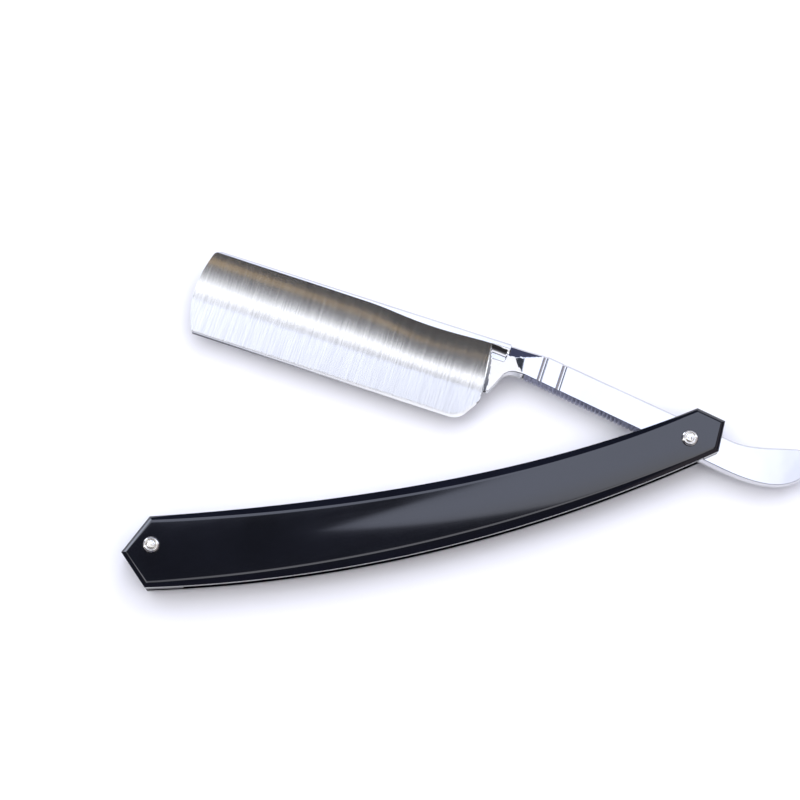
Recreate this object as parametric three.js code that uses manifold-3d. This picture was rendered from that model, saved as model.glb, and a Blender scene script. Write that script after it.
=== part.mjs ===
// Folding straight razor, open as it lies on a table, resting on the two lower pin heads.
// Units are millimetres. The pivot pin stands on the Z axis, the handle runs back along -X to the
// wedge pin, the blade opens towards +Y, and the flat feet of the lower pin heads lie at Z = 0.

import * as THREE from 'three';
import { mergeVertices } from 'three/addons/utils/BufferGeometryUtils.js';
import Module from 'manifold-3d';

const wasm = await Module();
wasm.setup();

// Driving dimensions.

// Handle: two scales with a spacer between them.
const pinSpacing = 136;
const scaleThickness = 2.8;
const scaleGap = 4.4;
const scaleBevelWidth = 1.5;
const scaleBevelDrop = 1.1;
const slotEdgeInset = 0.2;

// Pins, collars and washers.
const pinRadius = 0.8;
const pinHeadOverhang = 0.32;
const pinHeadThickness = 0.55;
const pinHeadRound = 0.2;
const pinFootInset = 0.57;
const collarSeatHeight = 0.45;
const collarCrownWidth = 0.28;
const collarCrownHeight = 0.78;
const collarSlopeWidth = 0.55;
const collarSlopeSwell = 0.1;
const collarRimHeight = 0.25;
const washerWidth = 1.75;
const washerThickness = 0.4;

// Fits.
const pinHoleClearance = 0.05;
const pivotHoleClearance = 0.08;
const washerClearance = 0.05;
const headSeatClearance = 0.1;
const toeToWedgePin = 6;
const toeToSpacer = 1;

// Blade, measured from the pivot: stations run along the back of the blade towards the toe,
// offsets run across it towards the cutting edge.
const openAngle = 29.6;
const bladeWidth = 22;
const backOffset = 9.35;
const spineThickness = 6;
const toeThickness = 5.5;
const edgeThickness = 0.12;
const backBevel = 0.45;
const hollowStart = 0.7;
const hollowTangentFromEdge = 8.2;
const hollowTangentThickness = 0.84;
const shoulderStation = 52.6;
const shoulderRamp = 1.9;
const shoulderToRidge = 4.6;
const shoulderToArch = 8.6;
const shoulderToKnee = 13.1;
const shoulderToFlutes = [17.7, 12.5];
const shankThickness = 4.7;
const shankCove = 4;
const ridgeWidth = 1.3;
const cheekTaperStart = 1.2;
const cheekTaperAngle = 7;
const tangArchOffset = -2.3;
const tangUndersideAtPivot = 3.5;
const tangBackAtPivot = -4.61;
const undersideBevelWidth = 0.95;
const undersideBevelAngle = 50;
const undersideLand = 1.9;
const fluteRadius = 0.75;
const fluteDepth = 0.35;
const jimpPitch = 1.06;
const jimpDepth = 0.32;
const jimpGap = 0.62;
const archToFirstJimp = 1;
const jimpLastStation = 10;
const tangParallelHalfLength = 8;
const tailThickness = 2.6;
const tailReach = 31.7;

// Levels above the table, worked out from the stack of pieces on each pin.
const headHeight = collarSeatHeight + pinHeadThickness;
const rearOuterLevel = headHeight;
const rearInnerLevel = rearOuterLevel + scaleThickness;
const middleLevel = rearInnerLevel + scaleGap / 2;
const frontInnerLevel = rearInnerLevel + scaleGap;
const frontOuterLevel = frontInnerLevel + scaleThickness;
const topLevel = frontOuterLevel + headHeight;

// Blade sizes that follow from its neighbours.
const bladeReach = pinSpacing - toeToWedgePin;
const tangThickness = scaleGap - 2 * (washerThickness + washerClearance);
const edgeOffset = bladeWidth - backOffset;
const ridgeStation = shoulderStation - shoulderToRidge;
const tangArchStation = shoulderStation - shoulderToArch;
const tangKneeStation = shoulderStation - shoulderToKnee;
const tangSlope = (tangUndersideAtPivot - tangArchOffset) / tangArchStation;
const tangBackSlope = (tangBackAtPivot + backOffset) / tangKneeStation;

// Radii worked outwards from the pin.
const pinHoleRadius = pinRadius + pinHoleClearance;
const pinHeadRadius = pinRadius + pinHeadOverhang;
const pinFootRadius = pinHeadRadius - pinFootInset;
const collarSeatRadius = pinHeadRadius + headSeatClearance;
const collarCrownRadius = collarSeatRadius + collarCrownWidth;
const collarRadius = collarCrownRadius + collarSlopeWidth;
const washerRadius = pinHoleRadius + washerWidth;

const roundSegments = 48;
const curveSegments = 20;
const beyond = 4;

// Materials, one for each kind of piece.
const finishes = {
  steel: { color: 0xc9cbd0, roughness: 0.28, metalness: 1 },
  scale: { color: 0x11131d, roughness: 0.12, metalness: 0 },
  spacer: { color: 0x14151c, roughness: 0.3, metalness: 0 },
  nickelSilver: { color: 0xd8d2c2, roughness: 0.18, metalness: 1 },
  brass: { color: 0xb9975a, roughness: 0.35, metalness: 1 },
};

// A closed geometry as a solid: shared vertices merged, collapsed triangles dropped.
function solidFrom(geometry) {
  const bare = geometry.clone();
  bare.deleteAttribute('normal');
  bare.deleteAttribute('uv');
  const merged = mergeVertices(bare, 1e-5);
  const index = merged.index.array;
  const corners = [];
  for (let i = 0; i < index.length; i += 3) {
    const [a, b, c] = [index[i], index[i + 1], index[i + 2]];
    if (a !== b && b !== c && c !== a) corners.push(a, b, c);
  }
  return new wasm.Manifold(new wasm.Mesh({
    numProp: 3,
    vertProperties: new Float32Array(merged.attributes.position.array),
    triVerts: new Uint32Array(corners),
  }));
}

function meshFrom(solid, name, finish) {
  const { vertProperties, triVerts } = solid.getMesh();
  const geometry = new THREE.BufferGeometry();
  geometry.setAttribute('position', new THREE.BufferAttribute(new Float32Array(vertProperties), 3));
  geometry.setIndex(new THREE.BufferAttribute(new Uint32Array(triVerts), 1));
  geometry.computeVertexNormals();
  const mesh = new THREE.Mesh(geometry, new THREE.MeshStandardMaterial(finishes[finish]));
  mesh.name = name;
  return mesh;
}

// An outline drawn in X and Y, given thickness from one height to another.
function plate(shape, low, high) {
  const geometry = new THREE.ExtrudeGeometry(shape, {
    depth: high - low,
    bevelEnabled: false,
    curveSegments,
  });
  return solidFrom(geometry.translate(0, 0, low));
}

// An outline drawn in X and Z, given width along Y.
function sideBar(shape, low, high) {
  const geometry = new THREE.ExtrudeGeometry(shape, {
    depth: high - low,
    bevelEnabled: false,
    curveSegments,
  });
  geometry.rotateX(Math.PI / 2);
  return solidFrom(geometry.translate(0, high, 0));
}

// A section drawn in Y and Z, given length along X.
function sectionBar(shape, low, high) {
  const geometry = new THREE.ExtrudeGeometry(shape, {
    depth: high - low,
    bevelEnabled: false,
    curveSegments,
  });
  geometry.rotateX(Math.PI / 2);
  geometry.rotateZ(Math.PI / 2);
  return solidFrom(geometry.translate(low, 0, 0));
}

// A profile of radius and height, turned about Z.
function turned(profile) {
  const points = profile.map(([radius, height]) => new THREE.Vector2(radius, height));
  const geometry = new THREE.LatheGeometry(points, roundSegments);
  return solidFrom(geometry.rotateX(Math.PI / 2));
}

function pinHole(radius, x, low, high) {
  const geometry = new THREE.CylinderGeometry(radius, radius, high - low, roundSegments);
  geometry.rotateX(Math.PI / 2);
  return solidFrom(geometry.translate(x, 0, (low + high) / 2));
}

// Plan outline of a scale: two long curved edges between two faceted ends. The corners of each
// end are measured from its own pin.
const pivotEnd = { top: [3.7, 7.2], point: [9.75, 2.6], bottom: [6.45, -4.5] };
const wedgeEnd = { top: [0.8, 7.2], point: [-7.7, -0.2], bottom: [-3.6, -10] };
const topEdgePull = [-52, -3.7];
const bottomEdgePull = [-67.8, -21.9];

function handleOutline() {
  const outline = new THREE.Shape();
  outline.moveTo(wedgeEnd.top[0] - pinSpacing, wedgeEnd.top[1]);
  outline.lineTo(wedgeEnd.point[0] - pinSpacing, wedgeEnd.point[1]);
  outline.lineTo(wedgeEnd.bottom[0] - pinSpacing, wedgeEnd.bottom[1]);
  outline.quadraticCurveTo(...bottomEdgePull, ...pivotEnd.bottom);
  outline.lineTo(...pivotEnd.point);
  outline.lineTo(...pivotEnd.top);
  outline.quadraticCurveTo(...topEdgePull, wedgeEnd.top[0] - pinSpacing, wedgeEnd.top[1]);
  return outline;
}

// A scale with its inner face at Z = 0 and its outer face bevelled all round.
function scaleBlank() {
  const straightSide = scaleThickness - scaleBevelDrop;
  const geometry = new THREE.ExtrudeGeometry(handleOutline(), {
    depth: straightSide + beyond,
    bevelEnabled: true,
    bevelThickness: scaleBevelDrop,
    bevelSize: scaleBevelWidth,
    bevelOffset: -scaleBevelWidth,
    bevelSegments: 1,
    curveSegments,
  });
  const bevelled = solidFrom(geometry.translate(0, 0, -beyond));
  const below = new THREE.BoxGeometry(3 * pinSpacing, pinSpacing, 4 * beyond);
  return bevelled
    .subtract(solidFrom(below.translate(0, 0, -2 * beyond)))
    .subtract(pinHole(pinHoleRadius, 0, -beyond, scaleThickness + beyond))
    .subtract(pinHole(pinHoleRadius, -pinSpacing, -beyond, scaleThickness + beyond));
}

function frontScale() {
  const mesh = meshFrom(scaleBlank(), 'front_scale', 'scale');
  mesh.position.z = frontInnerLevel;
  return mesh;
}

// The rear scale is the front one mirrored in the middle plane of the handle.
function rearScale() {
  const mesh = meshFrom(scaleBlank().mirror([0, 0, 1]), 'rear_scale', 'scale');
  mesh.position.z = rearInnerLevel;
  return mesh;
}

// The spacer fills the far end of the handle and stops short of the sweep of the toe.
function wedgeSpacer() {
  const sweepRadius = bladeReach + toeToSpacer;
  const sweep = new THREE.CylinderGeometry(sweepRadius, sweepRadius, 2 * scaleGap, 4 * roundSegments);
  sweep.rotateX(Math.PI / 2);
  sweep.translate(0, 0, middleLevel);
  const geometry = new THREE.ExtrudeGeometry(handleOutline(), {
    depth: scaleGap,
    bevelEnabled: true,
    bevelThickness: 0,
    bevelSize: 0,
    bevelOffset: -slotEdgeInset,
    bevelSegments: 1,
    curveSegments,
  });
  const filled = solidFrom(geometry.translate(0, 0, rearInnerLevel));
  const spacer = filled
    .subtract(solidFrom(sweep))
    .intersect(solidFrom(farEndBlock()))
    .subtract(pinHole(pinHoleRadius, -pinSpacing, 0, topLevel));
  return meshFrom(spacer, 'wedge_spacer', 'spacer');
}

function farEndBlock() {
  const block = new THREE.BoxGeometry(pinSpacing, pinSpacing, scaleGap);
  return block.translate(-pinSpacing, 0, middleLevel);
}

// A headed pin, peened at both ends, with a small flat on each head.
function pin(name, x) {
  const profile = [
    [0, 0],
    [pinFootRadius, 0],
    [pinHeadRadius - pinHeadRound, pinHeadRound],
    [pinHeadRadius, pinHeadThickness],
    [pinRadius, pinHeadThickness],
  ];
  const upper = profile.map(([radius, height]) => [radius, topLevel - height]).reverse();
  const mesh = meshFrom(turned([...profile, ...upper]), name, 'nickelSilver');
  mesh.position.x = x;
  return mesh;
}

// A domed collar with a seat for the pin head, its flat face at Z = 0.
function collar(name, x, faceLevel, towardsTable) {
  const slopeRadius = (collarRadius + collarCrownRadius) / 2;
  const slopeHeight = (collarRimHeight + collarCrownHeight) / 2 + collarSlopeSwell;
  const profile = [
    [pinHoleRadius, 0],
    [collarRadius, 0],
    [collarRadius, collarRimHeight],
    [slopeRadius, slopeHeight],
    [collarCrownRadius, collarCrownHeight],
    [collarSeatRadius, collarSeatHeight],
    [pinHoleRadius, collarSeatHeight],
    [pinHoleRadius, 0],
  ];
  const mesh = meshFrom(turned(profile), name, 'nickelSilver');
  mesh.rotation.x = towardsTable ? Math.PI : 0;
  mesh.position.set(x, 0, faceLevel);
  return mesh;
}

// A thin washer that keeps the tang off a scale.
function thrustWasher(name, lowLevel) {
  const profile = [
    [pinHoleRadius, 0],
    [washerRadius, 0],
    [washerRadius, washerThickness],
    [pinHoleRadius, washerThickness],
    [pinHoleRadius, 0],
  ];
  const mesh = meshFrom(turned(profile), name, 'brass');
  mesh.position.z = lowLevel;
  return mesh;
}

// Offset of the tang's underside and of its back at a station along the blade.
function tangUnderside(station) {
  return tangArchOffset + (tangArchStation - station) * tangSlope;
}

function tangBack(station) {
  return -backOffset + (tangKneeStation - station) * tangBackSlope;
}

// Points of the toe, as distances back from the furthest reach and down from the back.
const toe = {
  backCorner: [3.3, 0],
  roundStart: [1.9, 1],
  roundPull: [-2.6, 12.4],
};
const toeEdgeInset = 3;

// Points of the heel, as distances along from the shoulder and up from the cutting edge.
const heel = {
  edgeEnd: [6.4, 0],
  roundPull: [3.6, 0],
  roundEnd: [2.3, 2.5],
  cheekEnd: [0.5, 5.3],
  cheekPull: [0, 6.2],
  noseTop: [0, 7.2],
  notchTop: [0, 8.6],
  notchBack: [-1.2, 8.6],
};

// Points of the belly of the shank, as distances along and down from the start of its arch.
const belly = {
  slopeEnd: [5.1, 2.4],
  filletPull: [4, 0],
  filletEnd: [2.2, 0],
};

// Stations of the roots of the tail, and its points, as distances from its tip and offsets.
const tailUndersideRoot = -8;
const tailBackRoot = -10;
const tail = {
  undersidePull: [8.7, 6.6],
  tipPull: [1.2, 4],
  tipUnderside: [0, -5.2],
  tipRoundPull: [-0.5, -7.3],
  tipBack: [2.1, -7],
  backTipPull: [7.7, -6.6],
  backRootPull: [14.7, -2.6],
};

const fromReach = ([back, down]) => [bladeReach - back, down - backOffset];
const fromShoulder = ([along, up]) => [shoulderStation + along, edgeOffset - up];
const fromArch = ([along, down]) => [tangArchStation + along, tangArchOffset + down];
const fromTailTip = ([along, offset]) => [along - tailReach, offset];

// Plan outline of the blade, from the toe round by the edge, heel, tang and tail to the back.
function bladeOutline() {
  const outline = new THREE.Shape();
  outline.moveTo(...fromReach(toe.backCorner));
  outline.lineTo(...fromReach(toe.roundStart));
  outline.quadraticCurveTo(...fromReach(toe.roundPull), bladeReach - toeEdgeInset, edgeOffset);
  drawHeel(outline);
  drawJimps(outline);
  drawTail(outline);
  outline.lineTo(tangKneeStation, -backOffset);
  outline.lineTo(...fromReach(toe.backCorner));
  return outline;
}

// The rounded heel, the notch of the shoulder, and the belly of the shank.
function drawHeel(outline) {
  outline.lineTo(...fromShoulder(heel.edgeEnd));
  outline.quadraticCurveTo(...fromShoulder(heel.roundPull), ...fromShoulder(heel.roundEnd));
  outline.lineTo(...fromShoulder(heel.cheekEnd));
  outline.quadraticCurveTo(...fromShoulder(heel.cheekPull), ...fromShoulder(heel.noseTop));
  outline.lineTo(...fromShoulder(heel.notchTop));
  outline.lineTo(...fromShoulder(heel.notchBack));
  outline.lineTo(...fromArch(belly.slopeEnd));
  outline.quadraticCurveTo(...fromArch(belly.filletPull), ...fromArch(belly.filletEnd));
}

// Cross notches along the underside of the tang, for the finger's grip.
function drawJimps(outline) {
  const firstStation = tangArchStation + archToFirstJimp;
  for (let station = firstStation; station > jimpLastStation; station -= jimpPitch) {
    const middle = station - jimpGap / 2;
    const end = station - jimpGap;
    outline.lineTo(station, tangUnderside(station));
    outline.lineTo(middle, tangUnderside(middle) - jimpDepth);
    outline.lineTo(end, tangUnderside(end));
  }
}

// The tail, which curls towards the back of the blade behind the pivot.
function drawTail(outline) {
  outline.lineTo(tailUndersideRoot, tangUnderside(tailUndersideRoot));
  outline.bezierCurveTo(
    ...fromTailTip(tail.undersidePull),
    ...fromTailTip(tail.tipPull),
    ...fromTailTip(tail.tipUnderside),
  );
  outline.quadraticCurveTo(...fromTailTip(tail.tipRoundPull), ...fromTailTip(tail.tipBack));
  outline.bezierCurveTo(
    ...fromTailTip(tail.backTipPull),
    ...fromTailTip(tail.backRootPull),
    tailBackRoot,
    tangBack(tailBackRoot),
  );
}

// Half thickness of the forging along the blade, as stations and heights from the middle plane.
function thicknessPoints() {
  const points = [
    [-tailReach - beyond, tailThickness / 2],
    [-tangParallelHalfLength, tangThickness / 2],
    [tangParallelHalfLength, tangThickness / 2],
  ];
  const fluteHalf = Math.sqrt(fluteRadius ** 2 - (fluteRadius - fluteDepth) ** 2);
  const fluteSteps = 6;
  for (const fromFlute of shoulderToFlutes) {
    const station = shoulderStation - fromFlute;
    const surface = tangHalfThickness(station);
    for (let i = 0; i <= fluteSteps; i += 1) {
      const along = -fluteHalf + (2 * fluteHalf * i) / fluteSteps;
      const dip = Math.sqrt(fluteRadius ** 2 - along ** 2) - (fluteRadius - fluteDepth);
      points.push([station + along, surface - dip]);
    }
  }
  points.push([ridgeStation - shankCove, shankThickness / 2]);
  points.push([ridgeStation, (shankThickness + spineThickness) / 4]);
  points.push([ridgeStation + ridgeWidth, spineThickness / 2]);
  points.push([shoulderStation, spineThickness / 2]);
  points.push([bladeReach + beyond, toeThickness / 2]);
  return points;
}

function tangHalfThickness(station) {
  const taperLength = ridgeStation - shankCove - tangParallelHalfLength;
  const share = (station - tangParallelHalfLength) / taperLength;
  return (tangThickness + (shankThickness - tangThickness) * share) / 2;
}

function bladeSideShape() {
  const upper = thicknessPoints();
  const lower = upper.map(([station, half]) => [station, -half]).reverse();
  const points = [...upper, ...lower].map(([x, z]) => new THREE.Vector2(x, z));
  return new THREE.Shape(points);
}

// What a grinding wheel takes off one side: a round hollow that runs out tangent to a flat taper
// towards the edge, and that ends in a ramp at the shoulder.
function hollowCut() {
  const half = spineThickness / 2;
  const startOffset = hollowStart - backOffset;
  const tangent = new THREE.Vector2(edgeOffset - hollowTangentFromEdge, hollowTangentThickness / 2);
  const edge = new THREE.Vector2(edgeOffset, edgeThickness / 2);
  const start = new THREE.Vector2(startOffset, half);
  const normal = new THREE.Vector2(tangent.y - edge.y, edge.x - tangent.x).normalize();
  const reach = start.clone().sub(tangent);
  const wheelRadius = reach.lengthSq() / (2 * reach.dot(normal));
  const centre = tangent.clone().addScaledVector(normal, wheelRadius);
  const startAngle = Math.atan2(start.y - centre.y, start.x - centre.x);
  const endAngle = Math.atan2(tangent.y - centre.y, tangent.x - centre.x);
  const section = new THREE.Shape();
  section.moveTo(startOffset, half + beyond);
  section.lineTo(start.x, start.y);
  section.absarc(centre.x, centre.y, wheelRadius, startAngle, endAngle, false);
  section.lineTo(edge.x, edge.y);
  section.lineTo(edgeOffset + beyond, edge.y);
  section.lineTo(edgeOffset + beyond, half + beyond);
  const ramp = new THREE.Shape();
  const run = shoulderRamp / half;
  ramp.moveTo(shoulderStation + shoulderRamp, 0);
  ramp.lineTo(bladeReach + beyond, 0);
  ramp.lineTo(bladeReach + beyond, half + beyond);
  ramp.lineTo(shoulderStation - run * beyond, half + beyond);
  return sectionBar(section, shoulderStation - 2 * beyond, bladeReach + beyond)
    .intersect(sideBar(ramp, -bladeWidth, bladeWidth));
}

// The corner taken off the back of the blade on one side.
function backBevelCut() {
  const half = spineThickness / 2;
  const section = new THREE.Shape();
  section.moveTo(-backOffset - backBevel, half);
  section.lineTo(-backOffset, half - backBevel);
  section.lineTo(-backOffset + 2 * backBevel, half + backBevel);
  section.lineTo(-backOffset - backBevel, half + backBevel);
  return sectionBar(section, ridgeStation, bladeReach + beyond);
}

// The cheek of the shank and shoulder, which thins towards the belly so that it fits the slot.
function cheekTaperCut() {
  const half = spineThickness / 2;
  const start = cheekTaperStart - backOffset;
  const fall = (edgeOffset - start) * Math.tan(THREE.MathUtils.degToRad(cheekTaperAngle));
  const section = new THREE.Shape();
  section.moveTo(start, half);
  section.lineTo(edgeOffset, half - fall);
  section.lineTo(edgeOffset, half + beyond);
  section.lineTo(start, half + beyond);
  return sectionBar(section, tangArchStation, shoulderStation + shoulderRamp);
}

// The bevel along one side of the tang's underside. The two leave a narrow land between them.
function undersideBevelCut() {
  const rise = Math.tan(THREE.MathUtils.degToRad(undersideBevelAngle));
  const section = new THREE.Shape();
  section.moveTo(beyond, undersideLand / 2 - rise * beyond);
  section.lineTo(beyond, undersideLand / 2 + rise * 2 * undersideBevelWidth);
  section.lineTo(-2 * undersideBevelWidth, undersideLand / 2 + rise * 2 * undersideBevelWidth);
  const bar = sectionBar(section, tailUndersideRoot, tangArchStation + archToFirstJimp);
  const fall = THREE.MathUtils.radToDeg(Math.atan(tangSlope));
  return bar.rotate([0, 0, -fall]).translate([0, tangUndersideAtPivot, 0]);
}

function blade() {
  const thickest = spineThickness / 2 + 1;
  const forged = plate(bladeOutline(), -thickest, thickest)
    .intersect(sideBar(bladeSideShape(), -2 * bladeWidth, 2 * bladeWidth));
  const oneSide = hollowCut()
    .add(backBevelCut())
    .add(cheekTaperCut())
    .add(undersideBevelCut());
  const ground = forged
    .subtract(oneSide)
    .subtract(oneSide.mirror([0, 0, 1]))
    .subtract(pinHole(pinRadius + pivotHoleClearance, 0, -thickest, thickest));
  const mesh = meshFrom(ground, 'blade', 'steel');
  mesh.position.z = middleLevel;
  mesh.rotation.z = THREE.MathUtils.degToRad(180 - openAngle);
  return mesh;
}

const razor = new THREE.Group();
razor.add(blade());
razor.add(frontScale());
razor.add(rearScale());
razor.add(wedgeSpacer());
razor.add(pin('pivot_pin', 0));
razor.add(pin('wedge_pin', -pinSpacing));
razor.add(collar('pivot_front_collar', 0, frontOuterLevel, false));
razor.add(collar('pivot_rear_collar', 0, rearOuterLevel, true));
razor.add(collar('wedge_front_collar', -pinSpacing, frontOuterLevel, false));
razor.add(collar('wedge_rear_collar', -pinSpacing, rearOuterLevel, true));
razor.add(thrustWasher('front_thrust_washer', frontInnerLevel - washerThickness));
razor.add(thrustWasher('rear_thrust_washer', rearInnerLevel));

export default razor;
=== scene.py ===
# %% [markdown]
# # A folding straight razor, from its frame to its finish
#
# The razor has a hollow ground blade that turns on a pin between two polished black scales.
# Its sizes, its joint and its solids come ready made as a fixed frame. This lesson gives the
# pieces their fine surfaces: a blade ground by a rule, bevelled scales, peened pins and
# turned collars, and a finish for each of them.

# %% Load the frame
import math

import bmesh
import bpy
import numpy as np
from mathutils import Matrix, Vector


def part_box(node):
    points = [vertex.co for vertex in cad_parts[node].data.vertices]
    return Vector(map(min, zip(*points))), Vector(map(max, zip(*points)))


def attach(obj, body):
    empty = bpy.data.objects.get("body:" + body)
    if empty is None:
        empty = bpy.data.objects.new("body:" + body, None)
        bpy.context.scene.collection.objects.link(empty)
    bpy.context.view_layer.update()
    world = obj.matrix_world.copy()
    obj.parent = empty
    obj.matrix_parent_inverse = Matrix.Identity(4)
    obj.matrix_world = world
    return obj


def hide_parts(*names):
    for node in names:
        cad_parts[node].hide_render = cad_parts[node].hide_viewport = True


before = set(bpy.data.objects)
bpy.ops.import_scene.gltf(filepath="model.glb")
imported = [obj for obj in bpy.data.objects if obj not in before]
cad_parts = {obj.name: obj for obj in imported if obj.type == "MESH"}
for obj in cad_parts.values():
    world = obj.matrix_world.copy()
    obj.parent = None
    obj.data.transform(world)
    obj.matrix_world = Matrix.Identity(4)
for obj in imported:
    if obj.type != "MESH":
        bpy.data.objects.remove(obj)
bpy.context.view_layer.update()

# %% [markdown]
# ## Measures taken from the frame
#
# Everything that must fit is read from the boxes of the solids. The two pins give the
# length of the handle, and the scales give the levels of the stack. The middle level, half
# way between the scales, is the plane in which the blade is symmetrical.

# %% Levels and places
mm = 0.001


def centre(node):
    low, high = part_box(node)
    return (low + high) / 2


pivot = centre("pivot_pin")
wedge = centre("wedge_pin")
rear_outer, rear_inner = (corner.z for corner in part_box("rear_scale"))
front_inner, front_outer = (corner.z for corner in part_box("front_scale"))
middle = (rear_inner + front_inner) / 2
top_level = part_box("pivot_pin")[1].z
pin_spacing = pivot.x - wedge.x
print("pin spacing in mm", round(pin_spacing / mm, 2), "middle level", round(middle / mm, 2))

# %% [markdown]
# ## The camera
#
# The razor is looked at almost from above, a little from the front, through a long lens, as
# a maker looks at a finished razor on the bench. The camera is set first, because it says how
# fine each surface has to be: the whole razor is in view, so clean outlines and clean
# reflections matter more than marks smaller than a tenth of a millimetre.

# %% Camera
camera_place = Vector((-93.16, -98.23, 621.84)) * mm
degrees_above_bench = 78.5
camera_tilt = math.radians(90 - degrees_above_bench)
camera_turn = math.radians(-11.33)
sensor_width = 36
lens_per_sensor_width = 3.125

camera_data = bpy.data.cameras.new("bench_camera")
camera_data.sensor_width = sensor_width
camera_data.lens = sensor_width * lens_per_sensor_width
camera = bpy.data.objects.new("bench_camera", camera_data)
camera.location = camera_place
camera.rotation_euler = (camera_tilt, 0, camera_turn)
bpy.context.scene.collection.objects.link(camera)
bpy.context.scene.camera = camera
bpy.context.scene.view_settings.view_transform = "Standard"
print("lens", camera_data.lens, "mm at height", round(camera_place.z, 3), "m")

# %% [markdown]
# ## Formulas inside node trees
#
# Geometry and shader trees do their arithmetic with Math nodes. Wiring each of them by hand
# is slow and hard to read. A small wrapper round a socket lets a formula be written as a
# formula, and it adds the node for each step.


# %% A value in a node tree
class Field:
    def __init__(self, tree, socket):
        self.tree = tree
        self.socket = socket

    def math(self, operation, *others):
        node = self.tree.nodes.new("ShaderNodeMath")
        node.operation = operation
        for place, value in enumerate((self, *others)):
            if isinstance(value, Field):
                self.tree.links.new(value.socket, node.inputs[place])
            else:
                node.inputs[place].default_value = value
        return Field(self.tree, node.outputs[0])

    def __add__(self, other):
        return self.math("ADD", other)

    def __sub__(self, other):
        return self.math("SUBTRACT", other)

    def __rsub__(self, other):
        return (self * -1).math("ADD", other)

    def __mul__(self, other):
        return self.math("MULTIPLY", other)

    def __truediv__(self, other):
        return self.math("DIVIDE", other)

    def least(self, other):
        return self.math("MINIMUM", other)

    def most(self, other):
        return self.math("MAXIMUM", other)

    def root(self):
        return self.math("SQRT")

    def size(self):
        return self.math("ABSOLUTE")

    def wrapped(self, period):
        return self.math("FLOORED_MODULO", period)

    def above(self, other):
        return self.math("GREATER_THAN", other)

    def below(self, other):
        return self.math("LESS_THAN", other)


print("formula helper ready")

# %% [markdown]
# ## A geometry tree with named inputs
#
# A geometry tree is a small machine with labelled dials. The helper below makes the tree, its
# dials and its two ends. A second helper runs an object through the tree, sets the dials by
# the identifiers of their sockets, and keeps the result as a plain mesh, because what is
# handed on must not depend on a live modifier.


# %% Trees and their results
def geometry_tree(name, dials):
    tree = bpy.data.node_groups.new(name, "GeometryNodeTree")
    tree.interface.new_socket(name="Geometry", in_out="INPUT", socket_type="NodeSocketGeometry")
    for label, kind in dials:
        tree.interface.new_socket(name=label, in_out="INPUT", socket_type="NodeSocket" + kind)
    tree.interface.new_socket(name="Geometry", in_out="OUTPUT", socket_type="NodeSocketGeometry")
    start = tree.nodes.new("NodeGroupInput")
    end = tree.nodes.new("NodeGroupOutput")
    return tree, start, end


def finish_tree(tree, start, end, geometry):
    realize = tree.nodes.new("GeometryNodeRealizeInstances")
    paint = tree.nodes.new("GeometryNodeSetMaterial")
    tree.links.new(geometry, realize.inputs["Geometry"])
    tree.links.new(realize.outputs["Geometry"], paint.inputs["Geometry"])
    tree.links.new(start.outputs["Material"], paint.inputs["Material"])
    tree.links.new(paint.outputs["Geometry"], end.inputs["Geometry"])


def run_tree(obj, tree, settings):
    modifier = obj.modifiers.new(tree.name, "NODES")
    modifier.node_group = tree
    identifiers = {item.name: item.identifier for item in tree.interface.items_tree}
    for label, value in settings.items():
        modifier[identifiers[label]] = value
    graph = bpy.context.evaluated_depsgraph_get()
    mesh = bpy.data.meshes.new_from_object(obj.evaluated_get(graph))
    obj.modifiers.remove(modifier)
    obj.data = mesh


def object_from(name, points, faces):
    mesh = bpy.data.meshes.new(name)
    mesh.from_pydata([tuple(p) for p in points], [], faces)
    mesh.validate()
    obj = bpy.data.objects.new(name, mesh)
    bpy.context.scene.collection.objects.link(obj)
    return obj


def smooth_but_crisp(obj, degrees):
    obj.data.shade_smooth()
    obj.data.set_sharp_from_angle(angle=math.radians(degrees))


print("tree helpers ready")

# %% [markdown]
# ## Curves for the outlines
#
# The outlines are made of straight runs and of quadratic and cubic curves. Each is a short
# formula, sampled as finely as the surface needs.


# %% Sampled curves
def quadratic(a, b, c, share):
    a, b, c = (np.array(p, float) for p in (a, b, c))
    k = np.asarray(share, float)[:, None]
    return a * (1 - k) ** 2 + 2 * b * k * (1 - k) + c * k ** 2


def cubic(a, b, c, d, share):
    a, b, c, d = (np.array(p, float) for p in (a, b, c, d))
    k = np.asarray(share, float)[:, None]
    return a * (1 - k) ** 3 + 3 * b * k * (1 - k) ** 2 + 3 * c * k ** 2 * (1 - k) + d * k ** 3


print("half way along a quadratic", quadratic((0, 0), (1, 2), (2, 0), [0.5])[0])

# %% [markdown]
# ## Finish: polished steel
#
# The spine, shoulder, shank, tang and tail of a razor are mirror polished. A perfect mirror
# looks like glass in a render, so the finish keeps what a buffing wheel leaves: a very slight
# waviness, and patches where the polish is a little less deep.


# %% Material helpers
def new_material(name):
    material = bpy.data.materials.new(name)
    material.use_nodes = True
    shader = material.node_tree.nodes["Principled BSDF"]
    return material, material.node_tree, shader


def add_node(tree, kind, **values):
    node = tree.nodes.new(kind)
    for key, value in values.items():
        setattr(node, key, value)
    return node


def pattern_place(tree, scale, turn=0.0):
    coordinates = add_node(tree, "ShaderNodeTexCoord")
    mapping = add_node(tree, "ShaderNodeMapping")
    mapping.inputs["Rotation"].default_value = (0, 0, turn)
    mapping.inputs["Scale"].default_value = scale
    tree.links.new(coordinates.outputs["Object"], mapping.inputs["Vector"])
    return mapping.outputs["Vector"]


def noise(tree, place, scale, detail=3.0, roughness=0.5):
    node = add_node(tree, "ShaderNodeTexNoise")
    node.inputs["Scale"].default_value = scale
    node.inputs["Detail"].default_value = detail
    node.inputs["Roughness"].default_value = roughness
    tree.links.new(place, node.inputs["Vector"])
    return Field(tree, node.outputs["Fac"])


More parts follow.
